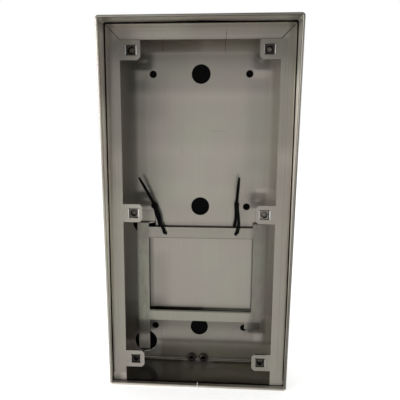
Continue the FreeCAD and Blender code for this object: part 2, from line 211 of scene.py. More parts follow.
middle = (Vector(cad_box[0]) + Vector(cad_box[1])) / 2
for name, lamp in LAMPS.items():
    lamp_data = bpy.data.lights.new(name, "AREA")
    lamp_data.shape = "SQUARE"
    lamp_data.size = lamp["size"]
    lamp_data.energy = lamp["watts"]
    lamp_object = bpy.data.objects.new(name, lamp_data)
    lamp_object.location = lamp["place"]
    lamp_object.rotation_euler = (middle - Vector(lamp["place"])).to_track_quat("-Z", "Y").to_euler()
    scene.collection.objects.link(lamp_object)


# Back box: one folded stainless sheet, brushed up and down on the plate and the side flanges and along on the
# top flange, with soft pinkish patches, fine scratches, dark smears, painted shadows round the two inserts
# and painted light and shade over much of it. From in front, black discs of painted shade show through its
# holes.
def on_screen(red, green, blue):
    """A colour as seen on a screen, 0 to 255, as the linear colour that a shader takes."""
    def linear(level):
        share = level / 255
        return share / 12.92 if share <= 0.04045 else ((share + 0.055) / 1.055) ** 2.4
    return (linear(red), linear(green), linear(blue), 1.0)


def mix(sheet, share, first, second, blend="MIX"):
    """Two colours blended by a share from 0 to 1."""
    settings = {"data_type": "RGBA", "blend_type": blend}
    return sheet.node("Mix", settings, {0: share, 6: first, 7: second}, out=2)


def place(sheet):
    """The point on the part, in metres, as a vector and as its x, y and z."""
    point = sheet.node("TexCoord", out="Object")
    return point, [sheet.node("SeparateXYZ", None, {0: point}, out=axis) for axis in range(3)]


def noise(point, stretch, detail=2.0, roughness=0.5):
    """Noise from 0 to 1, whose grains are stretched by three lengths in millimetres."""
    scale = [1.0 / (length * MM) for length in stretch]
    spot = point.sheet.node("VectorMath", {"operation": "MULTIPLY"}, {0: point, 1: scale})
    return point.sheet.node("TexNoise", {"noise_dimensions": "3D"},
                            {"Vector": spot, "Scale": 1.0, "Detail": detail, "Roughness": roughness})


def step(value, low, high):
    """Rises smoothly from 0 to 1 as a value goes from low to high; with high below low, it falls."""
    ends = {"From Min": min(low, high), "From Max": max(low, high),
            "To Min": 0.0 if low < high else 1.0, "To Max": 1.0 if low < high else 0.0}
    return value.sheet.node("MapRange", {"interpolation_type": "SMOOTHSTEP"}, {"Value": value, **ends})


def slope(value, low, high):
    """The same smooth step between two places in millimetres."""
    return step(value, low * MM, high * MM)


def stripe(value, middle, outer, inner):
    """1 within the inner distance of a middle and 0 beyond the outer one, in millimetres."""
    return slope(abs(value - middle * MM), outer, inner)


def band(value, low, high, soft):
    """1 between two places in millimetres, with ends that fade over twice a softness."""
    half = (high - low) / 2
    return stripe(value, (low + high) / 2, half + soft, half - soft)


def patch(x, z, centre, size, soft=0.6):
    """A soft-edged oval on the part's front, 1 in its middle, from a centre and a size in millimetres."""
    across = (x - centre[0] * MM) * (2.0 / (size[0] * MM))
    up = (z - centre[1] * MM) * (2.0 / (size[1] * MM))
    return step(across * across + up * up, 1.0, 1.0 - soft)


def add_painted_shading(shade, x, z, tones, region=1.0):
    """A shade after its soft rectangles of painted light and shade, each (x low, x high, z low, z high,
    softness, share of the tone).
    """
    for x_low, x_high, z_low, z_high, soft, share in tones.values():
        inside = band(x, x_low, x_high, soft) * band(z, z_low, z_high, soft)
        shade = shade * (1.0 + (share - 1.0) * region * inside)
    return shade


GRAIN_NOISE = {"detail": 4.0, "roughness": 0.65}
GRAIN_CONTRAST = 0.20
GRAIN_ROUGHNESS = 0.08
GRAIN_BUMP = {"Strength": 0.12, "Distance": 0.02 * MM}
PATCH_GRAIN = [60.0, 60.0, 60.0]
PATCH_LIMITS = (0.38, 0.62)
PATCH_SHARE = 0.6
HAZE_ROUGHNESS = 0.5
HAZE_ANISOTROPY = 0.75


def brushed_steel(name, tone, warm, roughness, grain, anisotropy, haze=0.0, cross_grain=None, shades=None,
                  frost=None):
    """A rolled and brushed sheet: fine lines along the grain, soft patches of a warmer tone, a share of haze,
    a second reflection spread wide across the grain, and a dull frosted share where the sheet was blasted.

    From x, y and z, cross_grain gives where the grain is turned, shades the share of the tone with its marks
    and painted light and shade, and frost the frosted share.
    """
    sheet = NodeSheet(bpy.data.materials.new(name))
    point, axes = place(sheet)
    lines = noise(point, grain, **GRAIN_NOISE)
    if cross_grain:
        region = cross_grain(*axes)
        lines = lines * (1.0 - region) + noise(point, grain[::-1], **GRAIN_NOISE) * region
    colour = mix(sheet, PATCH_SHARE * step(noise(point, PATCH_GRAIN), *PATCH_LIMITS), tone, warm)
    shade = 1.0 - GRAIN_CONTRAST / 2 + GRAIN_CONTRAST * lines
    if shades:
        shade = shade * shades(*axes)
    grey = sheet.node("CombineColor", None, {0: shade, 1: shade, 2: shade})
    colour = mix(sheet, 1.0, colour, grey, "MULTIPLY")
    bump = sheet.node("Bump", None, {"Height": lines, **GRAIN_BUMP})
    metallic = 1.0 - frost(*axes) if frost else 1.0
    sheet.shade(Base_Color=colour, Metallic=metallic, Roughness=roughness + GRAIN_ROUGHNESS * (lines - 0.5),
                Normal=bump, Anisotropic=anisotropy)
    if haze:
        wide = sheet.node("BsdfPrincipled", None, {
            "Base Color": colour, "Metallic": metallic, "Roughness": HAZE_ROUGHNESS,
            "Anisotropic": HAZE_ANISOTROPY, "Normal": bump})
        sheet.surface(sheet.node("MixShader", None, {0: haze, 1: sheet.closure, 2: wide}))
    return sheet


STEEL_TONE = on_screen(149, 146, 136)
STEEL_WARM = on_screen(149, 141, 135)
STEEL_ROUGHNESS = 0.17
STEEL_ANISOTROPY = 0.62
HAZE = 0.32
UP_GRAIN = [1.4, 1.4, 130.0]

# The folded sheet, in millimetres
CORNER = (102.0, 205.0)
OPENING_CORNER = (85.5, 187.6)
FLANGE_DEPTH = -51.0
PLATE_DEPTH = -2.6
SIDE_SKIN = 0.7
BACK_SKIN = 0.6
TAB_END_X = 63.5
TAB_EDGE_Z = -166.7

# The holes in the plate
HOLE_ROWS = (-157.0, 0.0, 157.0)
CENTRE_HOLE_RADIUS = 11.1
SCREW_HOLE_X = 56.5
SCREW_HOLE_RADIUS = 4.25
SIDE_HOLE_X = -69.0
SIDE_HOLE_ROWS = {"middle": -21.5, "bottom": -178.5}
SIDE_HOLE_RADIUS = 14.3
INSERT_X = {"left": -9.7, "right": 6.0}
INSERT_ROW = -198.6
INSERT_HOLE_RADIUS = 2.2

# Dark lines: where each has faded out and where it is full, from its middle, and the share it takes. The
# groove's line is painted shade.
GROOVE_WIDTH = 1.5
GROOVE_FADE = 0.5
GROOVE_DARK = 0.93
MITRE_REACH = (0.8, 0.3)
MITRE_DARK = 0.72
SEAM_REACH = (0.7, 0.2)
SEAM_DARK = 0.35
# A dark line along the top edge of the bottom right tab
TAB_EDGE_LINE_REACH = (0.6, 0.3)
TAB_EDGE_LINE_X = (TAB_END_X + 1.5, 80.0)
TAB_EDGE_LINE_DARK = 0.95

# Upright scratches as (x, low z, high z, share of the tone left)
SCRATCH_REACH = (0.55, 0.15)
FLANGE_SCRATCHES = [(28.0, 187.0, 195.5, 0.45), (93.6, -190.0, 170.0, 0.80), (90.2, 20.0, 186.0, 0.86),
                    (-93.4, -150.0, 120.0, 0.86)]
PLATE_SCRATCHES = [(-45.1, 181.0, 197.0, 0.60), (27.8, 180.0, 198.0, 0.50), (-46.0, -171.0, -158.0, 1.22)]

# Smears on the plate, the first two being painted shadows round the inserts, as (centre, size, share of the
# tone left)
INSERT_SHADOW_Z = -199.2
SMEARS_AND_INSERT_SHADOWS = [((INSERT_X["left"], INSERT_SHADOW_Z), (14.0, 13.5), 0.20),
          ((INSERT_X["right"], INSERT_SHADOW_Z), (14.0, 13.0), 0.25),
          ((-22.4, 66.8), (3.0, 9.0), 0.88), ((20.5, 91.3), (26.0, 1.4), 0.80)]

# Painted light and shade: where the sheet is painted lighter or darker for what it reflects and the light
# it gets, as (x low, x high, z low, z high, softness, share of the tone)
FLANGE_PAINTED_SHADING = {
    "top flange": (-93.0, 93.0, 188.0, 206.0, 3.0, 1.36),
    "top flange, left half": (-120.0, -15.0, 190.0, 230.0, 15.0, 1.16),
    "left flange, upper half": (-104.0, -62.0, 70.0, 182.0, 14.0, 0.75),
    "left flange, lower half": (-104.0, -82.0, -212.0, 40.0, 10.0, 0.91),
    "left flange, outer edge": (-120.0, -99.0, -212.0, 50.0, 3.0, 1.25),
    "right flange, upper half": (62.0, 104.0, 70.0, 182.0, 14.0, 0.71),
    "right flange, lower half": (62.0, 104.0, -190.0, 60.0, 10.0, 0.92),
    "both feet": (-120.0, 120.0, -203.5, -199.0, 1.5, 1.15),
    "left foot": (-120.0, -80.0, -208.0, -196.0, 2.0, 1.35),
    "bottom left tab": (-79.0, -60.0, -187.0, -167.0, 4.0, 1.06),
    "bottom right tab": (60.0, 84.0, -190.0, -164.0, 4.0, 0.88),
    "front edge of the bottom wall": (-85.0, 85.0, -212.0, -203.0, 0.3, 0.45),
}
INSIDE_PAINTED_SHADING = {
    "left wall": (-112.0, -100.0, -170.0, 212.0, 1.0, 1.20),
    "left wall, lower half": (-130.0, -96.0, -230.0, -90.0, 6.0, 0.78),
    "right side, upper half": (79.5, 112.0, -10.0, 178.0, 2.5, 1.40),
    "right side, lower half": (84.0, 112.0, -176.0, -10.0, 2.5, 1.45),
    "bottom wall": (-112.0, 112.0, -212.0, -203.0, 0.2, 0.60),
    "bottom wall, left half": (-112.0, -20.0, -212.0, -203.0, 0.2, 0.80),
    "fold above the bottom wall": (-112.0, 112.0, -202.6, -200.6, 0.8, 0.42),
    "plate's top": (-112.0, 112.0, 181.0, 212.0, 4.0, 1.60),
    "plate's top, right of the middle": (0.0, 60.0, 183.0, 212.0, 4.0, 1.20),
    "plate's bottom": (-112.0, 112.0, -199.5, -178.5, 3.0, 2.45),
    "plate along the left wall": (-82.0, -66.0, -170.0, 150.0, 4.0, 0.80),
    "plate, level with the top holes": (-86.0, 86.0, 136.0, 180.0, 8.0, 0.80),
    "round the top left hole": (-86.0, -42.0, 104.0, 160.0, 9.0, 0.88),
    "left of the top left hole": (-86.0, -60.0, 138.0, 170.0, 6.0, 0.80),
    "right of the top right hole": (60.0, 80.0, 152.0, 170.0, 3.0, 1.20),
    "plate, below the top holes": (-86.0, 86.0, 74.0, 128.0, 9.0, 0.91),
    "plate's upper half, left": (-74.0, -54.0, -4.0, 150.0, 8.0, 0.84),
    "plate's upper half, right": (54.0, 80.0, 44.0, 150.0, 10.0, 0.86),
    "plate above the middle hole": (-40.0, 40.0, 8.0, 56.0, 18.0, 1.10),
    "above the middle right tab": (68.0, 96.0, 9.0, 22.0, 3.0, 1.30),
    "shadow over the upper bar": (-62.0, 62.0, -34.0, -22.0, 5.0, 0.72),
    "shadow right of the left leg": (-66.0, -58.5, -134.0, -40.0, 2.5, 0.60),
    "window, left part": (-62.0, -40.0, -134.0, -60.0, 8.0, 0.86),
    "shadow over the lower bar": (-58.0, 5.0, -138.0, -130.0, 3.5, 0.50),
    "shadow round the lower bar": (-72.0, 72.0, -160.0, -130.0, 8.0, 0.66),
    "shadow at the lower bar's left end": (-72.0, -44.0, -160.0, -120.0, 12.0, 0.62),
    "below the bracket": (-60.0, 80.0, -178.0, -140.0, 6.0, 0.88),
    "left of the left leg": (-96.0, -70.0, -176.0, -124.0, 5.0, 0.80),
    "right of the right leg": (70.0, 96.0, -176.0, -140.0, 4.0, 1.30),
    "round the side hole at the bottom": (-80.0, -52.0, -199.0, -176.0, 6.0, 2.2),
}

# The bottom wall near the inserts, darkened with painted shade, the lit rim of a side hole, with a painted
# highlight, and the frosted places, in millimetres
INSERT_SPAN = (24.0, 14.0)
INSERT_FRONT = (-24.0, -16.0)
BOTTOM_WALL_TOP = -203.0
INSERT_SHADE = 0.28
SHEET = 1.5
RIM_SKIN = 0.05
RIM_WIDTH = 0.15
RIM_BELOW = -9.0
RIM_START = (-4.0, 1.0)
RIM_LIGHT = 5.0
FOOT_HEIGHT = -196.5
FOOT_FADE = 4.0
LEFT_FOOT_DROP = 3.0
WINDOW_GAP = -136.0
GAP_REACH = (5.0, 2.0)
GAP_START = (-30.0, 50.0)
GAP_END = 66.0
FROST = {"foot": 0.85, "inserts": 0.7, "gap": 0.6, "rim": 0.9}


def top_grain(x, y, z):
    """1 on the top flange, where the grain runs along."""
    return (y < FLANGE_DEPTH * MM) * (z > OPENING_CORNER[1] * MM)


def near_inserts(x, y, z):
    """1 on the bottom wall close to the two inserts."""
    middle = sum(INSERT_X.values()) / 2
    return stripe(x, middle, *INSERT_SPAN) * (z < BOTTOM_WALL_TOP * MM) * slope(y, *INSERT_FRONT)


def lit_rim(x, y, z):
    """1 on the lower right part of the rim of the side hole at the bottom."""
    across = x - SIDE_HOLE_X * MM
    up = z - SIDE_HOLE_ROWS["bottom"] * MM
    within = across * across + up * up < ((SIDE_HOLE_RADIUS + RIM_WIDTH) * MM) ** 2
    in_sheet = (y > (RIM_SKIN - SHEET) * MM) * (y < -RIM_SKIN * MM)
    return within * in_sheet * (up < RIM_BELOW * MM) * slope(across, *RIM_START)


def box_shades(x, y, z):
    """The tone's share: painted shade in the groove; dark mitres, tab seams and a dark line on a tab's edge;
    scratches and smears; painted shadows round the inserts and on the bottom wall beside them; painted light
    and shade over regions; and a painted highlight on the lit rim of a side hole.
    """
    width = abs(x)
    in_front = y < FLANGE_DEPTH * MM
    inner = (width < (CORNER[0] - SIDE_SKIN) * MM) * (abs(z) < (CORNER[1] - SIDE_SKIN) * MM)
    inside = inner * (y < -BACK_SKIN * MM) * (1.0 - in_front)

    # Painted shade in the groove beside the hood
    side_edge, top_edge = (limit - GROOVE_WIDTH for limit in CORNER)
    groove_free = 1.0 - slope(width, side_edge, side_edge + GROOVE_FADE)
    groove_free = groove_free * (1.0 - slope(z, top_edge, top_edge + GROOVE_FADE))
    shade = 1.0 - GROOVE_DARK + GROOVE_DARK * groove_free

    run = (OPENING_CORNER[0] - CORNER[0], OPENING_CORNER[1] - CORNER[1])
    length = math.hypot(*run)
    off_mitre = (width - CORNER[0] * MM) * (run[1] / length) - (z - CORNER[1] * MM) * (run[0] / length)
    beyond = width > OPENING_CORNER[0] * MM
    mitre = stripe(off_mitre, 0.0, *MITRE_REACH) * (z > OPENING_CORNER[1] * MM) * beyond
    seam = stripe(z, OPENING_CORNER[1], *SEAM_REACH) * (width > TAB_END_X * MM) * (1.0 - beyond)
    shade = shade * (1.0 - in_front * (MITRE_DARK * mitre + SEAM_DARK * seam))
    tab_edge_line = stripe(z, TAB_EDGE_Z, *TAB_EDGE_LINE_REACH) * (x > TAB_EDGE_LINE_X[0] * MM) * (x < TAB_EDGE_LINE_X[1] * MM)
    shade = shade * (1.0 - TAB_EDGE_LINE_DARK * in_front * tab_edge_line)

    for region, scratches in ((in_front, FLANGE_SCRATCHES), (inside, PLATE_SCRATCHES)):
        for middle, low, high, share in scratches:
            scratch = stripe(x, middle, *SCRATCH_REACH) * (z > low * MM) * (z < high * MM)
            shade = shade * (1.0 - (1.0 - share) * region * scratch)
    near_plate = inside * (y > PLATE_DEPTH * MM)
    # Smears, and painted shadows round the inserts
    for centre, size, share in SMEARS_AND_INSERT_SHADOWS:
        shade = shade * (1.0 - (1.0 - share) * near_plate * patch(x, z, centre, size))
    # Painted light and shade over regions of the flanges and the inside
    shade = add_painted_shading(add_painted_shading(shade, x, z, FLANGE_PAINTED_SHADING, in_front), x, z, INSIDE_PAINTED_SHADING, inside)
    # Painted shade on the bottom wall by the inserts, and a painted highlight on the lit rim
    shade = shade * (1.0 - INSERT_SHADE * inside * near_inserts(x, y, z))
    return shade * (1.0 + RIM_LIGHT * lit_rim(x, y, z))


def box_frost(x, y, z):
    """The frosted share: the flanges' feet, the bottom wall by the inserts, below the window, the lit rim."""
    height = z - LEFT_FOOT_DROP * MM * (x < 0.0)
    foot = slope(height, FOOT_HEIGHT, FOOT_HEIGHT - FOOT_FADE)
    foot = foot * (y < FLANGE_DEPTH * MM) * (abs(x) > OPENING_CORNER[0] * MM)
    gap = stripe(z, WINDOW_GAP, *GAP_REACH) * slope(x, *GAP_START)
    gap = gap * (y > PLATE_DEPTH * MM) * (x < GAP_END * MM)
    return (FROST["foot"] * foot + FROST["inserts"] * near_inserts(x, y, z) + FROST["gap"] * gap
            + FROST["rim"] * lit_rim(x, y, z))


box_sheet = brushed_steel("box_sheet", STEEL_TONE, STEEL_WARM, STEEL_ROUGHNESS, UP_GRAIN, STEEL_ANISOTROPY,
                          HAZE, top_grain, box_shades, box_frost)
nodes["back_box"].material_slots[0].material = box_sheet.owner

# Painted shade behind the holes, named wall: a black disc close behind each hole, a little wider than the
# hole and clear from behind, in place of the dark space beyond it
HOLE_SHADE_COLOUR = (0.004, 0.004, 0.004, 1.0)
HOLE_SHADE_BEHIND = 0.05
HOLE_SHADE_MARGIN = 0.3
DISC_CORNERS = 48

holes = [(0.0, z, CENTRE_HOLE_RADIUS) for z in HOLE_ROWS]
holes += [(x, z, SCREW_HOLE_RADIUS) for x in (-SCREW_HOLE_X, SCREW_HOLE_X) for z in HOLE_ROWS]
holes += [(SIDE_HOLE_X, z, SIDE_HOLE_RADIUS) for z in SIDE_HOLE_ROWS.values()]
holes += [(x, INSERT_ROW, INSERT_HOLE_RADIUS) for x in INSERT_X.values()]
turns = np.linspace(0.0, 2 * np.pi, DISC_CORNERS, endpoint=False)
discs = []
for x, z, radius in holes:
    reach = radius + HOLE_SHADE_MARGIN
    behind = np.full(DISC_CORNERS, HOLE_SHADE_BEHIND)
    disc = np.stack([x + reach * np.cos(turns), behind, z + reach * np.sin(turns)], axis=1)
    discs.append((disc * MM).tolist())
wall, hole_shade_sheet = card("wall", *discs)
hole_shade_sheet.shade(Base_Color=HOLE_SHADE_COLOUR, Roughness=1.0, Specular_IOR_Level=0.0)
from_behind = hole_shade_sheet.node("NewGeometry", out="Backfacing")
clear = hole_shade_sheet.node("BsdfTransparent")
hole_shade_sheet.surface(hole_shade_sheet.node("MixShader", None, {0: from_behind, 1: hole_shade_sheet.closure, 2: clear}))


# Rain hood: one stainless strip, folded round the box, a little lighter and hazier than the box, and
# brushed up and down on its sides. Its front edge is hemmed to a rounded lip. Painted light and shade lie
# on its lip, sides, corners and floor.
HOOD_TONE = on_screen(158, 156, 146)
HOOD_HAZE = 0.55
HOOD_INSIDE = (102.9, 205.9)
HOOD_LOW = -206.6
HOOD_HIGH = 206.6
FRONT_OF_FLANGE = -53.5
LOW_REACH = 9.5
HIGH_REACH = 32.0
# Painted shade in the gap beside the flanges and a painted shadow on the hood's floor
FLANGE_GAP = 0.6
FLANGE_GAP_DARK = 0.95
HOOD_FLOOR_TOP = -204.5
HOOD_FLOOR_SHADOW = (-58.5, -58.0)
HOOD_FLOOR_DARK = 0.88

# Each corner's painted highlight and painted shade line, by the distances from its two walls added up
CORNER_LIGHT = 0.35
CORNER_LIGHT_REACH = (1.0, 0.6)
CORNER_DARK = 0.45
CORNER_DARK_AT = 1.5
CORNER_DARK_REACH = (0.6, 0.2)

# The lip's painted light and shade, with shares of the tone for all of it and for what its left, low and
# bottom parts add
LIP_WIDTH = 3.2
LIP_FADE = 1.0
LIP_FACE = 1.5
HEM_TOP = -204.0
LOW_PART = (60.0, -20.0)
LIP_TONE = 0.64
LIP_LEFT = 0.24
LIP_LOW = 0.18
LIP_LOW_LEFT = 0.10
LIP_BOTTOM = 0.6

# Painted light and shade on the hood, as (x low, x high, z low, z high, softness, share of the tone)
HOOD_PAINTED_SHADING = {
    "left side": (-112.0, -102.5, -212.0, 195.0, 2.0, 1.55),
    "left side, round the middle": (-200.0, -60.0, -130.0, 30.0, 40.0, 2.35),
    "left side, above the middle": (-150.0, -60.0, 50.0, 120.0, 25.0, 1.7),
    "top left corner": (-150.0, -85.0, 150.0, 250.0, 25.0, 1.3),
    "right side": (60.0, 200.0, -170.0, 150.0, 20.0, 2.15),
    "bottom": (-102.0, 102.0, -212.0, -204.5, 1.0, 1.80),
}
SIDE_FROST_X = 102.5
SIDE_FROST = {"left": 0.28, "right": 0.12}
SIDE_FROST_TOP = (120.0, 40.0)
SIDE_FROST_END = (-160.0, -110.0)
LIP_FROST = 0.8


def hood_shades(x, y, z):
    """The tone's share: painted shade beside the flanges, a painted shadow on the hood's floor, a painted
    highlight and shade line at each corner, painted light and shade over the sides and bottom, and the lip's
    painted light and shade, which grows towards the left, the lower half and the bottom."""
    width, height = abs(x), abs(z)
    inside = (width < HOOD_INSIDE[0] * MM) * (height < HOOD_INSIDE[1] * MM)
    gap = inside * slope(y, FRONT_OF_FLANGE - FLANGE_GAP, FRONT_OF_FLANGE)
    under = (z < HOOD_FLOOR_TOP * MM) * slope(y, *HOOD_FLOOR_SHADOW)
    corner = (HOOD_INSIDE[0] + HOOD_INSIDE[1]) * MM - width - height
    seam = CORNER_LIGHT * slope(corner, *CORNER_LIGHT_REACH)
    seam = seam - CORNER_DARK * stripe(corner, CORNER_DARK_AT, *CORNER_DARK_REACH)
    plain = (1.0 - FLANGE_GAP_DARK * gap) * (1.0 - HOOD_FLOOR_DARK * under) * (1.0 + seam)
    plain = add_painted_shading(plain, x, z, HOOD_PAINTED_SHADING)

    # The lip's painted light and shade
    up = (z - HOOD_LOW * MM) * (1.0 / ((HOOD_HIGH - HOOD_LOW) * MM))
    from_lip = y + (LOW_REACH - FRONT_OF_FLANGE) * MM + up * ((HIGH_REACH - LOW_REACH) * MM)
    lip_band = slope(from_lip, LIP_WIDTH, LIP_WIDTH - LIP_FADE)
    left = x * (-1.0 / (CORNER[0] * MM))
    lip_tone = LIP_TONE + LIP_LEFT * left + slope(z, *LOW_PART) * (LIP_LOW + LIP_LOW_LEFT * left)
    lip_tone = lip_tone + LIP_BOTTOM * (z < HEM_TOP * MM)
    return plain + (lip_tone - plain) * lip_band


def hood_frost(x, y, z):
    """The frosted share: most of it on the bottom's lip, some on the lower part of the two sides."""
    sides = SIDE_FROST["left"] * (x < -SIDE_FROST_X * MM) + SIDE_FROST["right"] * (x > SIDE_FROST_X * MM)
    sides = sides * slope(z, *SIDE_FROST_TOP) * slope(z, *SIDE_FROST_END)
    lip = (z < HEM_TOP * MM) * (y < (FRONT_OF_FLANGE - LOW_REACH + LIP_FACE) * MM)
    return sides + LIP_FROST * lip


hood_sheet = brushed_steel("hood_sheet", HOOD_TONE, STEEL_WARM, STEEL_ROUGHNESS, UP_GRAIN, STEEL_ANISOTROPY,
                           HOOD_HAZE, shades=hood_shades, frost=hood_frost)
nodes["hood_sleeve"].material_slots[0].material = hood_sheet.owner


# Module bracket: a flat frame of the same sheet, cut out and joggled at its feet, with a duller and greener
# finish, darker legs with worn spots, a painted highlight on its lower left foot and painted thin shadows
# along the edges of its window.
BRACKET_TONE = on_screen(147, 146, 134)
BRACKET_ROUGHNESS = 0.22
BRACKET_ANISOTROPY = 0.5
BRACKET_MIDDLE = 0.8
LEG_EDGE = (58.0, 68.0)
RIGHT_LEG = (60.0, 68.0)
WINDOW_HALF = 63.9
WINDOW_TOP = -39.4
WINDOW_BOTTOM = -133.2
UPPER_BAR_START = (WINDOW_TOP - 4.0, WINDOW_TOP)
FOOT_DEPTH = -3.2
LOWER_FEET = -100.0
LIT_FOOT = (-165.0, -171.0)
LIT_FOOT_END = (-174.0, -178.0)
LIT_END_SHARE = 0.2
WORN_GRAIN = [5.0, 5.0, 12.0]
WORN_NOISE = {"detail": 4.0, "roughness": 0.7}
WORN_LIMITS = (0.45, 0.70)
SILL_REACH = (2.4, 1.2)
LINTEL_REACH = (1.3, 0.6)
JAMB_REACH = (1.2, 0.6)
# The share of the tone that each place loses, or gains where the foot is lit
BRACKET_LOSS = {"leg": 0.22, "worn": 0.16, "right leg": 0.12, "lower right foot": 0.15, "upper bar": 0.11,
                "sill": 0.55, "lintel": 0.35, "jamb": 0.45}
LIT_FOOT_GAIN = 1.1
BRACKET_FROST = 0.75
BRACKET_FROST_START = (-171.0, -177.0)


def bracket_shades(x, y, z):
    """The tone's share: 1 on the bars, about 0.7 on the legs, with worn spots, a painted highlight on the lit
    foot at the lower left and painted shadow lines at the window's edges."""
    across = abs(x - BRACKET_MIDDLE * MM)
    leg = slope(across, *LEG_EDGE)
    point, _ = place(x.sheet)
    worn = step(noise(point, WORN_GRAIN, **WORN_NOISE), *WORN_LIMITS)
    right = slope(x, *RIGHT_LEG)
    foot = y > FOOT_DEPTH * MM
    raised = 1.0 - foot
    lower_foot = foot * (z < LOWER_FEET * MM)
    lit = foot * (slope(z, *LIT_FOOT) + LIT_END_SHARE * slope(z, *LIT_FOOT_END))
    between = raised * (across < WINDOW_HALF * MM)
    sill = between * stripe(z, WINDOW_BOTTOM, *SILL_REACH)
    lintel = between * stripe(z, WINDOW_TOP, *LINTEL_REACH)
    jamb = raised * stripe(x, BRACKET_MIDDLE + WINDOW_HALF, *JAMB_REACH)
    jamb = jamb * (z < WINDOW_TOP * MM) * (z > WINDOW_BOTTOM * MM)
    shade = 1.0 - leg * (BRACKET_LOSS["leg"] + BRACKET_LOSS["worn"] * worn)
    losses = {"right leg": right, "lower right foot": lower_foot * right,
              "upper bar": slope(z, *UPPER_BAR_START), "sill": sill, "lintel": lintel, "jamb": jamb}
    for name, region in losses.items():
        shade = shade * (1.0 - BRACKET_LOSS[name] * region)
    return shade * (1.0 + LIT_FOOT_GAIN * lit)


def bracket_frost(x, y, z):
    """The frosted share: the end of the lower left foot."""
    return BRACKET_FROST * slope(z, *BRACKET_FROST_START)


bracket_sheet = brushed_steel("bracket_sheet", BRACKET_TONE, STEEL_WARM, BRACKET_ROUGHNESS, UP_GRAIN,
                              BRACKET_ANISOTROPY, HAZE, shades=bracket_shades, frost=bracket_frost)
nodes["module_bracket"].material_slots[0].material = bracket_sheet.owner


# Spring cages: bright thin spring steel, folded, one snapped into each square hole of the six tabs. Only
# their two lips stand in front of the tab.
CAGE_TONE = on_screen(250, 250, 245)
CAGE_WARM = on_screen(242, 240, 236)
CAGE_ROUGHNESS = 0.22
CAGE_ANISOTROPY = 0.3
CAGE_GRAIN = [1.6, 1.6, 12.0]
TAB_X = 73.4
ROW_PITCH = 177.0
LIP_FRONT = (-53.45, -53.50)
LIP_BEND = (5.1, 5.5)
# Painted shade on the arms in the hole and on the lips near their bends, on each left lip and in the bottom
# row
ARM_TONE = 0.06
BEND_SHARE = 0.2
FLAT_SHARE = 0.6
BOTTOM_ROW_LOSS = 0.6
LEFT_LIP_LOSS = 0.4


def cage_shades(x, y, z):
    """The tone's share: painted shade, almost black, on the arms in the hole; light on the lips in front,
    with painted shade near each lip's bend, on each left lip and in the bottom row."""
    flat = slope(abs(abs(x) - TAB_X * MM), *LIP_BEND)
    lip = slope(y, *LIP_FRONT) * (BEND_SHARE + FLAT_SHARE * flat)
    left_lip = (x < -TAB_X * MM) + (x > 0.0) * (x < TAB_X * MM)
    bottom_row = z < -0.5 * ROW_PITCH * MM
    lip = lip * (1.0 - BOTTOM_ROW_LOSS * bottom_row) * (1.0 - LEFT_LIP_LOSS * left_lip)
    return ARM_TONE + (1.0 - ARM_TONE) * lip


spring = brushed_steel("spring_steel", CAGE_TONE, CAGE_WARM, CAGE_ROUGHNESS, CAGE_GRAIN, CAGE_ANISOTROPY,
                       shades=cage_shades)
for name, node in nodes.items():
    if name.startswith("nut_cage"):
        node.material_slots[0].material = spring.owner


# Square nuts: dull zinc plated, each with a round collar, a wide countersink and a cut thread. They stand
# for the plain nuts of the CAD and lie loose in the cages.
SHARP_ANGLE = 38
RING_COLUMNS = 96
SQUARE_POWER = 12


def closed_piece(name, points, faces, sheet):
    """A piece from its points and faces, turned outwards, that rides on the box.

    Its volume is a sixth of the sum of first dot (second cross third) over the triangles' corners, and is
    positive when the faces point outwards.
    """
    mesh = bpy.data.meshes.new(name)
    mesh.from_pydata(points.tolist(), [], faces)
    mesh.calc_loop_triangles()
    corners = np.empty(3 * len(mesh.loop_triangles), np.int32)
    mesh.loop_triangles.foreach_get("vertices", corners)
    first, second, third = points[corners.reshape(-1, 3)].transpose(1, 0, 2)
    if (first * np.cross(second, third)).sum() < 0:
        mesh.flip_normals()
    mesh.shade_smooth()
    mesh.set_sharp_from_angle(angle=math.radians(SHARP_ANGLE))
    mesh.materials.append(sheet.owner)
    piece = bpy.data.objects.new(name, mesh)
    scene.collection.objects.link(piece)
    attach(piece, "root")
    return piece


def grid_faces(rows, columns, close_rows):
    """Quads over a grid of points that is closed along its columns and, if asked, along its rows."""
    row = np.arange(rows if close_rows else rows - 1)[:, None]
    column = np.arange(columns)[None, :]
    next_row = (row + 1) % rows
    next_column = (column + 1) % columns
    quads = np.stack([row * columns + column, row * columns + next_column,
                      next_row * columns + next_column, next_row * columns + column], axis=-1)
    return quads.reshape(-1, 4).tolist()


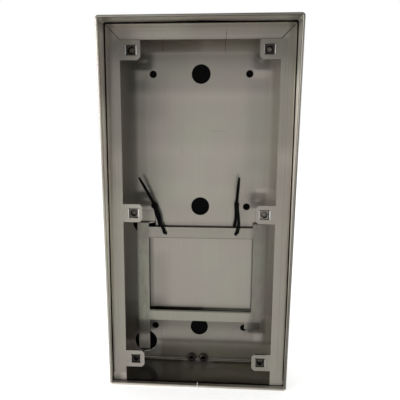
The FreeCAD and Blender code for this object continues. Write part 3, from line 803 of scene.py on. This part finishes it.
def threaded_ring(name, centre, profile, thread, sheet):
    """A ring turned round a level axis, with a threaded bore.

    The profile holds (radius, height, squareness) from the bore's back mouth round the outside to its
    front mouth, with heights towards the front. With a squareness of 1, the radius at angle a is
    radius / (|cos a|^p + |sin a|^p)^(1/p), with p the square's power. The thread's radius at height h is
    base(h) + depth * |2 f - 1|, with f the fraction of h / pitch + a / 2 pi.
    """
    angle = np.linspace(0.0, 2 * np.pi, RING_COLUMNS, endpoint=False)
    powers = np.abs(np.cos(angle)) ** SQUARE_POWER + np.abs(np.sin(angle)) ** SQUARE_POWER
    square = powers ** (-1 / SQUARE_POWER)
    radius, height, squareness = np.array(profile).T[:, :, None]
    outside = radius * np.where(squareness, square, 1.0)
    level = np.linspace(height[-1] - thread["end"], height[0] + thread["end"], thread["rows"])
    turn = (level / thread["pitch"] + angle / (2 * np.pi)) % 1.0
    bore = np.interp(level, thread["heights"], thread["radii"]) + thread["depth"] * np.abs(2 * turn - 1)
    radii = np.concatenate([outside, bore])
    heights = np.concatenate([height, level]) + np.zeros(RING_COLUMNS)
    points = np.array(centre) + np.stack([radii * np.cos(angle), -heights, radii * np.sin(angle)], axis=-1)
    faces = grid_faces(len(radii), RING_COLUMNS, True)
    return closed_piece(name, points.reshape(-1, 3) * MM, faces, sheet)


NUT_TONE = on_screen(110, 106, 100)
NUT_WARM = on_screen(98, 92, 86)
NUT_ROUGHNESS = 0.30
NUT_GRAIN = [2.0, 2.0, 3.0]
NUT_BACK = -46.75
NUT_HALF = 4.6
NUT_THICKNESS = 4.6
NUT_BEVEL = 0.3
COLLAR_RADIUS = 4.4
COLLAR_TOP = 5.3
COLLAR_BEVEL = 0.15
BACK_MOUTH_RADIUS = 2.95
SINK_RADIUS = 3.85
SINK_DEPTH = 1.7
NUT_PROFILE = [(BACK_MOUTH_RADIUS, 0.0, 0), (NUT_HALF - NUT_BEVEL, 0.0, 1), (NUT_HALF, NUT_BEVEL, 1),
               (NUT_HALF, NUT_THICKNESS - NUT_BEVEL, 1), (NUT_HALF - NUT_BEVEL, NUT_THICKNESS, 1),
               (COLLAR_RADIUS, NUT_THICKNESS, 0), (COLLAR_RADIUS, COLLAR_TOP - COLLAR_BEVEL, 0),
               (COLLAR_RADIUS - COLLAR_BEVEL, COLLAR_TOP, 0), (SINK_RADIUS, COLLAR_TOP, 0)]
NUT_THREAD = {"pitch": 1.0, "depth": 0.32, "end": 0.12, "rows": 64,
              "heights": [0.0, COLLAR_TOP - SINK_DEPTH, COLLAR_TOP], "radii": [2.6, 2.6, 3.5]}
# The countersink's painted shade, by the distance from the nut's axis
SINK_INNER = (2.7, 2.9)
SINK_OUTER = (3.95, 3.7)
SINK_DARK = 0.95
OUTER_ROWS_LOSS = 0.55
MIDDLE_RIGHT_GAIN = 1.2


def nut_shades(x, y, z):
    """The tone's share by the distance from each nut's own axis: painted shade, almost black, in the
    countersink; darker in the top and bottom rows, lightest in the middle right nut."""
    across = abs(x) - TAB_X * MM
    up = z - ROW_PITCH * MM * z.math("ROUND", z * (1.0 / (ROW_PITCH * MM)))
    out = z.math("SQRT", across * across + up * up)
    sink = slope(out, *SINK_INNER) * slope(out, *SINK_OUTER)
    outer_rows = abs(z) > 0.5 * ROW_PITCH * MM
    middle_right = (1.0 - outer_rows) * (x > 0.0)
    lightness = 1.0 - OUTER_ROWS_LOSS * outer_rows + MIDDLE_RIGHT_GAIN * middle_right
    return (1.0 - SINK_DARK * sink) * lightness


zinc = brushed_steel("zinc_nut", NUT_TONE, NUT_WARM, NUT_ROUGHNESS, NUT_GRAIN, 0.0, shades=nut_shades)
for row_name, row in (("top", ROW_PITCH), ("middle", 0.0), ("bottom", -ROW_PITCH)):
    for side_name, side in (("left", -TAB_X), ("right", TAB_X)):
        name = row_name + "_" + side_name
        nut = threaded_ring("threaded_nut_" + name, (side, NUT_BACK, row), NUT_PROFILE, NUT_THREAD, zinc)
        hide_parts("square_nut_" + name)


# Inserts: two dull rivet nuts, set in the back plate's bottom edge with their round heads forwards and
# threaded right through. They stand for the plain inserts of the CAD.
INSERT_TONE = on_screen(78, 76, 71)
INSERT_WARM = on_screen(60, 57, 54)
INSERT_ROUGHNESS = 0.30
INSERT_GRAIN = [2.0, 2.0, 4.0]
INSERT_PROFILE = [(2.35, 0.0, 0), (3.1, 0.0, 0), (3.2, 0.1, 0), (3.2, 4.4, 0), (3.3, 4.5, 0), (4.6, 4.5, 0),
                  (4.8, 4.7, 0), (4.8, 5.2, 0), (4.65, 5.6, 0), (4.3, 5.9, 0), (3.9, 6.0, 0), (2.6, 6.0, 0)]
INSERT_THREAD = {"pitch": 0.8, "depth": 0.26, "end": 0.15, "rows": 56,
                 "heights": [0.0, 6.0], "radii": [2.1, 2.1]}

insert = brushed_steel("insert_steel", INSERT_TONE, INSERT_WARM, INSERT_ROUGHNESS, INSERT_GRAIN, 0.0)
for name, x in INSERT_X.items():
    ring = threaded_ring("threaded_insert_" + name, (x, 0.0, INSERT_ROW), INSERT_PROFILE, INSERT_THREAD,
                         insert)
    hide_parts("rivet_nut_" + name)


# Cable ties: black moulded nylon, one through each small hole of the bracket's upper bar and over its edge.
# Each has a doubled loop, a head and a long toothed tail, and stands for the CAD's plain tie.
NYLON_COLOUR = (0.002, 0.002, 0.002, 1.0)
NYLON_GRAIN = [0.8, 0.8, 0.8]
NYLON_ROUGHNESS = 0.55
NYLON_SPREAD = 0.2
NYLON_IOR = 1.12
NYLON_BUMP = {"Strength": 0.2, "Distance": 0.05 * MM}
BAR_FRONT = 7.5
BAR_BACK = 6.0
HOLE_Z = -33.2
HOLE_DROP = 7.6
STRAP_WIDTH = 3.5
STRAP_THICKNESS = 1.1
TIP_WIDTH = 2.3
TAPER_START = 0.7
HOLE_WIDENING = 0.3
HOLE_ALONG = 0.30
HOLE_SPREAD = 0.10
HEAD_SIZE = (5.6, 4.6, 6.8)
HEAD_HEIGHT = 36.2
# The head's rounded ends as (distance from the end, share of the full size)
HEAD_ENDS = np.array([(0.0, 0.70), (0.25, 0.88), (0.7, 0.97), (1.3, 1.0)])
IN_HEAD = 1.0
STAND_OFF = 9.6
TAIL_RISE = 10.0
STRAND_INWARD = 0.35
EASE = 0.3
TOOTH_PITCH = 1.3
TOOTH_HEIGHT = 0.16
TEETH_END = 0.72
SECTION_POINTS = 16
SECTION_POWER = 6
LOOP_RINGS = 160
TAIL_RINGS = 240
TIES = {
    "left": {"hole": -42.8, "angle": -20.0,
             "route": {"pull": -1.8, "lift": 0.0, "loop_bow": -0.4, "tail": 37.2, "bow": -2.6, "curl": -1.2}},
    "right": {"hole": 44.0, "angle": 0.5,
              "route": {"pull": 1.0, "lift": 1.6, "loop_bow": 0.9, "tail": 32.4, "bow": 1.0, "curl": 0.6}},
}


def smooth_path(points, samples):
    """A curve through the points: between two of them, the Catmull-Rom cubic of their neighbours."""
    points = np.array(points, float)
    padded = np.concatenate([[2 * points[0] - points[1]], points, [2 * points[-1] - points[-2]]])
    along = np.linspace(0, len(points) - 1, samples)
    index = np.minimum(along.astype(int), len(points) - 2)
    t = (along - index)[:, None]
    a, b, c, d = (padded[index + shift] for shift in range(4))
    cubic = (3 * b - a - 3 * c + d) * t ** 3
    return 0.5 * (2 * b + (c - a) * t + (2 * a - 5 * b + 4 * c - d) * t ** 2 + cubic)


def swept(path, widths, thicknesses):
    """A closed bar along a path, its section |x|^p + |y|^p = 1 scaled to a width and a thickness."""
    run = np.gradient(path, axis=0)
    run /= np.linalg.norm(run, axis=1, keepdims=True)
    side = np.array([1.0, 0.0, 0.0]) - run * run[:, :1]
    side /= np.linalg.norm(side, axis=1, keepdims=True)
    up = np.cross(run, side)
    angle = np.linspace(0, 2 * np.pi, SECTION_POINTS, endpoint=False)
    powers = np.abs(np.cos(angle)) ** SECTION_POWER + np.abs(np.sin(angle)) ** SECTION_POWER
    scale = powers ** (-1 / SECTION_POWER) / 2
    offsets = ((widths[:, None] * (np.cos(angle) * scale))[..., None] * side[:, None]
               + (thicknesses[:, None] * (np.sin(angle) * scale))[..., None] * up[:, None])
    start_cap = list(range(SECTION_POINTS))[::-1]
    end_cap = list(range((len(path) - 1) * SECTION_POINTS, len(path) * SECTION_POINTS))
    faces = grid_faces(len(path), SECTION_POINTS, False) + [start_cap, end_cap]
    return (path[:, None] + offsets).reshape(-1, 3), faces


def tie_bars(pull, lift, loop_bow, tail, bow, curl):
    """The loop, tail and head in the tie's own frame: x across, y out of the wall, z up from the hole.

    The loop's front strand comes down from the head, goes through the hole and rises behind the bar. The
    tail at share t is at x = bow t + curl t^2, and its teeth are a sawtooth on its thickness.
    """
    front = BAR_FRONT + STRAP_THICKNESS
    behind = BAR_BACK - STRAP_THICKNESS
    inside = (front + behind) / 2
    half = STRAP_WIDTH / 2
    drop = STRAP_THICKNESS / 2
    back_strand = STAND_OFF - STRAP_THICKNESS
    head_low = HEAD_HEIGHT - HEAD_SIZE[2] / 2
    head_high = HEAD_HEIGHT + HEAD_SIZE[2] / 2
    front_x = half + loop_bow - STRAND_INWARD
    back_x = loop_bow + STRAND_INWARD
    loop = smooth_path([
        (half / 2, STAND_OFF + drop, head_low + IN_HEAD), (front_x, STAND_OFF + drop, 0.7 * head_low),
        (front_x + pull, STAND_OFF, 0.4 * head_low), (half + pull, front + EASE, HOLE_DROP + lift),
        (0.6 * (half + pull), front, 3 * drop + lift), (0.3 * (half + pull), front - EASE, 0.5 * drop + lift),
        (0.0, inside + 2 * EASE, lift - drop), (0.0, inside - 2 * EASE, lift - drop),
        (-0.2 * half, behind + EASE, 0.5 * drop + lift), (-0.5 * half, behind, 3 * drop + lift),
        (pull / 2 - 1.3 * half, behind, HOLE_DROP),
        (pull / 2 - 1.4 * half, behind + 2 * EASE, 1.4 * HOLE_DROP),
        (back_x - 1.2 * half, back_strand, 0.5 * head_low), (back_x - half, back_strand, 0.8 * head_low),
        (-half / 2, back_strand, head_low + IN_HEAD)], LOOP_RINGS)
    at_hole = np.exp(-((np.linspace(0, 1, LOOP_RINGS) - HOLE_ALONG) / HOLE_SPREAD) ** 2)

    along = np.linspace(0, 1, TAIL_RINGS)
    free = np.stack([bow * along + curl * along ** 2, STAND_OFF + TAIL_RISE * along,
                     head_high - IN_HEAD + tail * along], axis=1)
    taper = np.clip((along - TAPER_START) / (1.0 - TAPER_START), 0, 1)
    teeth = TOOTH_HEIGHT * ((along * tail / TOOTH_PITCH) % 1.0 * (along < TEETH_END) - 0.5)

    heights = np.concatenate([HEAD_ENDS[:, 0], HEAD_SIZE[2] - HEAD_ENDS[::-1, 0]])
    rounding = np.concatenate([HEAD_ENDS[:, 1], HEAD_ENDS[::-1, 1]])
    head = np.stack([0 * heights, STAND_OFF + 0 * heights, head_low + heights], axis=1)
    return [swept(loop, STRAP_WIDTH * (1.0 + HOLE_WIDENING * at_hole), np.full(LOOP_RINGS, STRAP_THICKNESS)),
            swept(free, STRAP_WIDTH - (STRAP_WIDTH - TIP_WIDTH) * taper, STRAP_THICKNESS + teeth),
            swept(head, HEAD_SIZE[0] * rounding, HEAD_SIZE[1] * rounding)]


nylon = NodeSheet(bpy.data.materials.new("black_nylon"))
nylon_point, _ = place(nylon)
mould = noise(nylon_point, NYLON_GRAIN, detail=3.0)
nylon.shade(Base_Color=NYLON_COLOUR, Roughness=NYLON_ROUGHNESS + NYLON_SPREAD * (mould - 0.5), IOR=NYLON_IOR,
            Normal=nylon.node("Bump", None, {"Height": mould, **NYLON_BUMP}))
for name, tie in TIES.items():
    points, faces, first = [], [], 0
    for bar_points, bar_faces in tie_bars(**tie["route"]):
        points.append(bar_points)
        faces += [[corner + first for corner in face] for face in bar_faces]
        first += len(bar_points)
    x, y, z = np.concatenate(points).T
    turn = math.radians(tie["angle"])
    points = np.stack([tie["hole"] + x * math.cos(turn) + z * math.sin(turn), -y,
                       HOLE_Z - x * math.sin(turn) + z * math.cos(turn)], axis=1) * MM
    piece = closed_piece("toothed_tie_" + name, points, faces, nylon)
    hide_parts("cable_tie_" + name)
